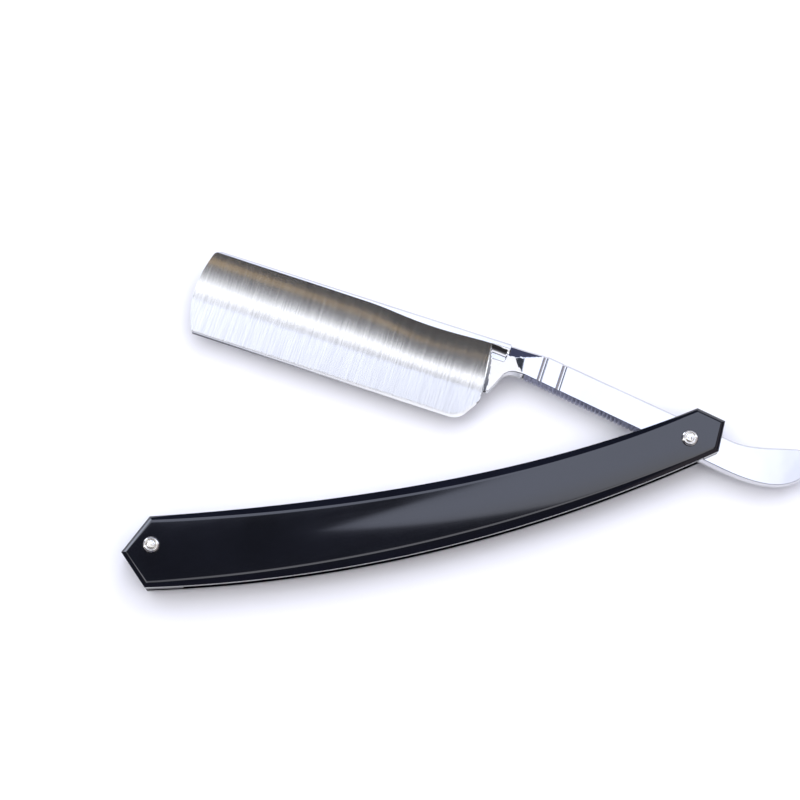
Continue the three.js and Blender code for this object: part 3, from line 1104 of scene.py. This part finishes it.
def matched_grid(points, first, count, rows, height_at):
    half = count // 2
    columns = []
    for i in range(half + 1):
        low, high = first + i, first + (count - i) % count
        if low == high:
            columns.append([low])
            continue
        column = [low]
        for row in range(1, rows):
            share = row / rows
            x, y, z = (points[low][k] * (1 - share) + points[high][k] * share for k in range(3))
            points.append((x, y, height_at(z, share, x)))
            column.append(len(points) - 1)
        column.append(high)
        columns.append(column)
    return columns


def stitch(columns):
    faces = []
    for one, two in zip(columns, columns[1:]):
        if len(one) == 1:
            faces += [(one[0], two[j], two[j + 1]) for j in range(len(two) - 1)]
        elif len(two) == 1:
            faces += [(one[j], two[0], one[j + 1]) for j in range(len(one) - 1)]
        else:
            faces += [(one[j], two[j], two[j + 1], one[j + 1]) for j in range(len(one) - 1)]
    return faces


def crowned(z, share, x):
    ends = outline[:, 0].min(), outline[:, 0].max()
    from_ends = [1 - math.exp(-((x - end) / crown_fade) ** 2) for end in ends]
    return z + face_crown * from_ends[0] * from_ends[1] * (1 - (2 * share - 1) ** 2)


def face_grid(points, first, count):
    return stitch(matched_grid(points, first, count, face_rows, crowned))


def back_grid(points, count):
    columns = matched_grid(points, 0, count, back_rows, lambda z, share, x: z)
    return [face[::-1] for face in stitch(columns)]


def clean_normals(obj):
    shape = bmesh.new()
    shape.from_mesh(obj.data)
    bmesh.ops.remove_doubles(shape, verts=shape.verts, dist=1e-7)
    bmesh.ops.recalc_face_normals(shape, faces=shape.faces)
    shape.to_mesh(obj.data)
    shape.free()


def finish_piece(obj, material, body, slot, *nodes):
    obj.data.materials.clear()
    obj.data.materials.append(material)
    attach(obj, body)
    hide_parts(*nodes)


# %% Make both scales
hole_radius = 0.85
scale_drill_length = 40

for name, level, outward in (("front_scale", front_inner, 1), ("rear_scale", rear_inner, -1)):
    scale = scale_mesh(name + "_buffed", level, outward)
    for spot in (pivot, wedge):
        drill(scale, hole_radius * mm, scale_drill_length * mm, (spot.x, spot.y))
    smooth_but_crisp(scale, degrees=14)
    finish_piece(scale, black, "handle", "black_scale", name)
    print(scale.name, "faces", len(scale.data.polygons))

# %% [markdown]
# ## Finish: nickel silver
#
# Pins and collars are nickel silver, a copper alloy a little warmer than steel. The collars
# are turned and polished. The pin heads are peened with small hammer blows, which leave
# shallow dents that break up the highlight.


# %% Nickel silver
def nickel_silver(name, dent_size, dent_strength):
    material, tree, shader = new_material(name)
    shader.inputs["Metallic"].default_value = 1
    place = pattern_place(tree, (1, 1, 1))
    tarnish = noise(tree, place, 700, 3.0)
    colour = ramp(tree, tarnish, [(0.3, (0.70, 0.67, 0.60)), (0.7, (0.86, 0.83, 0.76))])
    tree.links.new(colour, shader.inputs["Base Color"])
    gloss = tarnish * 0.12 + 0.08
    tree.links.new(gloss.socket, shader.inputs["Roughness"])
    dents = noise(tree, place, dent_size, 1.5)
    bump(tree, shader, dents, 0.05 * mm, dent_strength)
    return material


collar_metal = nickel_silver("turned_nickel_silver", 1500, 0.1)
pin_metal = nickel_silver("peened_nickel_silver", 2300, 0.6)
print("made", collar_metal.name, "and", pin_metal.name)

# %% [markdown]
# ## Turned parts
#
# Pins and collars come from a lathe: a profile is swung round an axis. The tree below does
# the same. Its own geometry is the profile, a line in the plane of radius and height. A grid
# is wrapped round the axis: one direction is the angle, and along the other each point is
# looked up on the profile. The same tree turns every pin and every collar.

# %% The lathe tree
lathe_dials = [("Segments", "Int"), ("Steps", "Int"), ("Material", "Material")]


def lathe_tree():
    tree, start, end = geometry_tree("lathe", lathe_dials)
    to_curve = tree.nodes.new("GeometryNodeMeshToCurve")
    tree.links.new(start.outputs["Geometry"], to_curve.inputs["Mesh"])
    grid = tree.nodes.new("GeometryNodeMeshGrid")
    grid.inputs["Size X"].default_value = 1
    grid.inputs["Size Y"].default_value = 1
    tree.links.new(start.outputs["Segments"], grid.inputs["Vertices X"])
    tree.links.new(start.outputs["Steps"], grid.inputs["Vertices Y"])
    position = tree.nodes.new("GeometryNodeInputPosition")
    split = tree.nodes.new("ShaderNodeSeparateXYZ")
    tree.links.new(position.outputs[0], split.inputs[0])
    turn = (Field(tree, split.outputs["X"]) + 0.5) * math.tau
    along = Field(tree, split.outputs["Y"]) + 0.5
    sample = tree.nodes.new("GeometryNodeSampleCurve")
    sample.mode = "FACTOR"
    tree.links.new(to_curve.outputs["Curve"], sample.inputs["Curves"])
    tree.links.new(along.socket, sample.inputs["Factor"])
    profile = tree.nodes.new("ShaderNodeSeparateXYZ")
    tree.links.new(sample.outputs["Position"], profile.inputs[0])
    radius = Field(tree, profile.outputs["X"])
    join = tree.nodes.new("ShaderNodeCombineXYZ")
    tree.links.new((radius * turn.math("COSINE")).socket, join.inputs["X"])
    tree.links.new((radius * turn.math("SINE")).socket, join.inputs["Y"])
    tree.links.new(profile.outputs["Z"], join.inputs["Z"])
    place = tree.nodes.new("GeometryNodeSetPosition")
    tree.links.new(grid.outputs["Mesh"], place.inputs["Geometry"])
    tree.links.new(join.outputs[0], place.inputs["Position"])
    weld = tree.nodes.new("GeometryNodeMergeByDistance")
    weld.inputs["Distance"].default_value = 1e-7
    tree.links.new(place.outputs["Geometry"], weld.inputs["Geometry"])
    finish_tree(tree, start, end, weld.outputs["Geometry"])
    return tree


lathe = lathe_tree()
print("lathe tree has", len(lathe.nodes), "nodes")


# %% Turn a part
segments = 97
steps_per_point = 4


def turned_part(name, profile, material, place, facing=1):
    points = [(radius * mm, 0, height * mm) for radius, height in profile]
    mesh = bpy.data.meshes.new(name)
    mesh.from_pydata(points, [(i, i + 1) for i in range(len(points) - 1)], [])
    part = bpy.data.objects.new(name, mesh)
    bpy.context.scene.collection.objects.link(part)
    steps = steps_per_point * len(points)
    run_tree(part, lathe, {"Segments": segments, "Steps": steps, "Material": material})
    part.data.transform(Matrix.Translation(place) @ Matrix.Diagonal((1, 1, facing, 1)))
    clean_normals(part)
    smooth_but_crisp(part, degrees=40)
    return part


def arc_points(centre_point, radius, start, end, count):
    angles = np.radians(np.linspace(start, end, count))
    return [
        (centre_point[0] + radius * math.cos(a), centre_point[1] + radius * math.sin(a))
        for a in angles
    ]


# %% Pins
pin_radius = 0.8
head_radius = 1.12
head_height = 0.55
foot_radius = 0.55
head_rounding = 0.24
dome_rise = 0.03


def pin_head(level):
    dome = [(foot_radius * k, level - dome_rise * k ** 2) for k in (0, 0.35, 0.7, 1)]
    side_centre = (head_radius - head_rounding, level - 0.27)
    side = arc_points(side_centre, head_rounding, 75, 0, 6)
    under = level - head_height
    return dome + side + [(head_radius, under), (pin_radius, under)]


def pin_profile():
    top = pin_head(top_level / mm)
    bottom = [(radius, top_level / mm - height) for radius, height in pin_head(top_level / mm)]
    return top + bottom[::-1]


for name, spot in (("pivot_pin", pivot), ("wedge_pin", wedge)):
    pin = turned_part(name + "_peened", pin_profile(), pin_metal, (spot.x, spot.y, 0))
    finish_piece(pin, pin_metal, "handle", "nickel_silver", name)
print("pins are", round(top_level / mm, 2), "mm long")


# %% Collars
def collar_profile():
    seat = head_radius + 0.2
    crown = seat + 0.2
    outer = crown + 0.53
    rim = (crown + 0.1, 0.8)
    dome = quadratic((outer, 0.25), (outer - 0.05, 0.62), rim, np.linspace(0, 1, 9))
    lip = quadratic(rim, (seat + 0.12, 0.86), (seat, 0.7), np.linspace(0, 1, 7))[1:]
    return [
        (hole_radius, 0.0), (outer - 0.03, 0.0), (outer, 0.04),
        *map(tuple, dome), *map(tuple, lip),
        (seat, 0.45), (hole_radius, 0.45), (hole_radius, 0.0),
    ]


for end_name, spot in (("pivot", pivot), ("wedge", wedge)):
    for side_name, level, facing in (("front", front_outer, 1), ("rear", rear_outer, -1)):
        node = f"{end_name}_{side_name}_collar"
        collar = turned_part(
            node + "_turned", collar_profile(), collar_metal, (spot.x, spot.y, level), facing,
        )
        finish_piece(collar, collar_metal, "handle", "nickel_silver", node)
print("four collars turned")

# %% [markdown]
# ## The hidden pieces
#
# The spacer and the thrust washers keep the shapes that they have in the frame. They show
# only as narrow edges in the slot, so a better material is all that they need.


# %% Spacer and washers
def spacer_material():
    material, tree, shader = new_material("spacer_black")
    place = pattern_place(tree, (1, 1, 0.2))
    saw = noise(tree, place, 1800, 3.0)
    colour = ramp(tree, saw, [(0.3, (0.004, 0.004, 0.006)), (0.7, (0.009, 0.009, 0.013))])
    tree.links.new(colour, shader.inputs["Base Color"])
    gloss = saw * 0.2 + 0.2
    tree.links.new(gloss.socket, shader.inputs["Roughness"])
    bump(tree, shader, saw, 0.03 * mm, 0.3)
    return material


def brass_material():
    material, tree, shader = new_material("washer_brass")
    shader.inputs["Metallic"].default_value = 1
    lathe_marks = noise(tree, pattern_place(tree, (1, 1, 6)), 1600, 3.0)
    colour = ramp(tree, lathe_marks, [(0.3, (0.58, 0.40, 0.14)), (0.7, (0.76, 0.56, 0.24))])
    tree.links.new(colour, shader.inputs["Base Color"])
    gloss = lathe_marks * 0.25 + 0.15
    tree.links.new(gloss.socket, shader.inputs["Roughness"])
    bump(tree, shader, lathe_marks, 0.02 * mm, 0.3)
    return material


def repaint(node, material):
    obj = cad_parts[node]
    obj.data.materials.clear()
    obj.data.materials.append(material)


repaint("wedge_spacer", spacer_material())
brass = brass_material()
repaint("front_thrust_washer", brass)
repaint("rear_thrust_washer", brass)
print("repainted the spacer and two washers")

# %% [markdown]
# ## The bench and the light
#
# The razor lies on a pale board. Polished steel and gloss plastic have no colour of their own
# to speak of: they show the room. So the room is drawn with care. Most of it is a bright
# wall. A dark field on the near side gives the hollow its shadow band, and a dark shape
# overhead, where the maker leans over the bench, keeps the wedge end of the handle black. A
# warm lamp, the walls at the side and near the bench, a door and a high window give the small
# facets their lights and darks.


# %% Floor
floor_half_size = 3.0


def pale_board():
    material, tree, shader = new_material("pale_board")
    mottle = noise(tree, pattern_place(tree, (1, 1, 1)), 14, 3.0)
    colour = ramp(tree, mottle, [(0.3, (0.86, 0.86, 0.90)), (0.7, (0.89, 0.89, 0.93))])
    tree.links.new(colour, shader.inputs["Base Color"])
    shader.inputs["Roughness"].default_value = 0.7
    return material


def make_floor(half_size):
    corners = [(-half_size, -half_size, 0), (half_size, -half_size, 0),
               (half_size, half_size, 0), (-half_size, half_size, 0)]
    floor = object_from("bench_board", corners, [(0, 1, 2, 3)])
    floor.data.materials.append(pale_board())


make_floor(floor_half_size)


# %% Shapes in the room
def at(degrees):
    return degrees / 180 + 0.5


def soft_step(value, edge, softness):
    return ((value - edge) / softness + 0.5).most(0).least(1)


def band(value, low, high, softness):
    return soft_step(value, low, softness) * (1 - soft_step(value, high, softness))


def round_spot(u, v, centre_point, radii, softness):
    off_u = (u - centre_point[0]) / radii[0]
    off_v = (v - centre_point[1]) / radii[1]
    return 1 - soft_step(off_u * off_u + off_v * off_v, 1.0, softness)


def blend(tree, share, first, second):
    mixed = tree.nodes.new("ShaderNodeMix")
    mixed.data_type = "RGBA"
    tree.links.new(share.socket, mixed.inputs["Factor"])
    tree.links.new(first, mixed.inputs["A"])
    mixed.inputs["B"].default_value = (*second, 1)
    return mixed.outputs["Result"]


far = 100
wall_tones = [
    (at(-88), (0.09, 0.09, 0.15)),
    (at(-60), (0.07, 0.07, 0.11)),
    (at(-36), (0.09, 0.09, 0.10)),
    (at(-29), (0.09, 0.08, 0.07)),
    (at(-24), (0.05, 0.045, 0.045)),
    (at(-10), (0.03, 0.03, 0.035)),
    (at(-4), (0.20, 0.20, 0.22)),
    (at(2), (1.20, 1.20, 1.28)),
    (at(7), (1.64, 1.76, 2.20)),
    (at(38), (1.64, 1.76, 2.20)),
    (at(52), (0.10, 0.11, 0.20)),
    (at(86), (0.05, 0.06, 0.11)),
]
patches = {
    "left sky": ((-far, -0.15, 0.03), (0.0, 0.5, 0.1), (2.3, 2.35, 2.5)),
    "right wall": ((0.12, far, 0.06), (-0.8, -0.05, 0.1), (1.5, 1.5, 1.6)),
    "near wall": ((-0.07, 0.5, 0.04), (-0.08, 0.12, 0.06), (1.6, 1.62, 1.75)),
    "far right": ((0.75, far, 0.3), (-far, 0.2, 0.1), (0.34, 0.30, 0.34)),
    "upper left": ((-far, -0.35, 0.12), (0.4, far, 0.1), (0.10, 0.11, 0.18)),
}
spots = {
    "warm lamp": ((-0.42, -0.20), (0.06, 0.035), 0.8, (2.6, 1.7, 0.62)),
    "door": ((0.38, 0.05), (0.17, 0.15), 0.3, (0.05, 0.06, 0.08)),
}
print("shapes in the room:", len(patches), "patches and", len(spots), "spots")


# %% World
shadow_line = 0.158
shadow_spread_above = 0.60
shadow_spread_under = 0.55
shadow_side = -0.14
shadow_limits = (0.075, 0.205)
shadow_depth = 0.97
overhead_from = 0.12
least_height = 0.01


def maker_shadow(u, v):
    above = (v - shadow_line).most(0) / shadow_spread_above
    under = (shadow_line - v).most(0) / shadow_spread_under
    wedge_shape = soft_step(above + under, u, 0.012)
    return wedge_shape * soft_step(u, shadow_side, 0.03) * band(v, *shadow_limits, 0.02)


def studio_world():
    world = bpy.data.worlds.new("pale_studio")
    bpy.context.scene.world = world
    world.use_nodes = True
    tree = world.node_tree
    background = tree.nodes["Background"]
    coordinates = tree.nodes.new("ShaderNodeTexCoord")
    split = tree.nodes.new("ShaderNodeSeparateXYZ")
    tree.links.new(coordinates.outputs["Generated"], split.inputs[0])
    x, y, z = (Field(tree, split.outputs[axis]) for axis in "XYZ")
    colour = ramp(tree, y.math("ARCTAN2", z) / math.pi + 0.5, wall_tones)
    u, v = x / z.most(least_height), y / z.most(least_height)
    overhead = z.above(overhead_from)
    for across, along, tone in patches.values():
        colour = blend(tree, band(u, *across) * band(v, *along) * overhead, colour, tone)
    shadow = maker_shadow(u, v) * overhead * shadow_depth
    colour = blend(tree, shadow, colour, (0.03, 0.03, 0.04))
    for centre_point, radii, softness, tone in spots.values():
        share = round_spot(u, v, centre_point, radii, softness) * overhead
        colour = blend(tree, share, colour, tone)
    high_window = x.below(-0.35) * y.above(0.7) * z.size().below(0.35)
    colour = blend(tree, high_window, colour, (3.2, 3.5, 4.2))
    tree.links.new(colour, background.inputs["Color"])
    background.inputs["Strength"].default_value = 1.0


def soft_light(name, place, aim, size, power, colour):
    data = bpy.data.lights.new(name, "AREA")
    data.shape = "RECTANGLE"
    data.size, data.size_y = size
    data.energy = power
    data.color = colour
    light = bpy.data.objects.new(name, data)
    light.location = place
    direction = Vector(aim) - Vector(place)
    light.rotation_euler = direction.to_track_quat("-Z", "Y").to_euler()
    light.visible_glossy = False
    bpy.context.scene.collection.objects.link(light)


studio_world()
soft_light("overhead", (-0.1, 0.2, 1.2), (-0.06, 0, 0), (2.0, 2.0), 16, (1.0, 0.99, 0.97))
print("stage is lit")
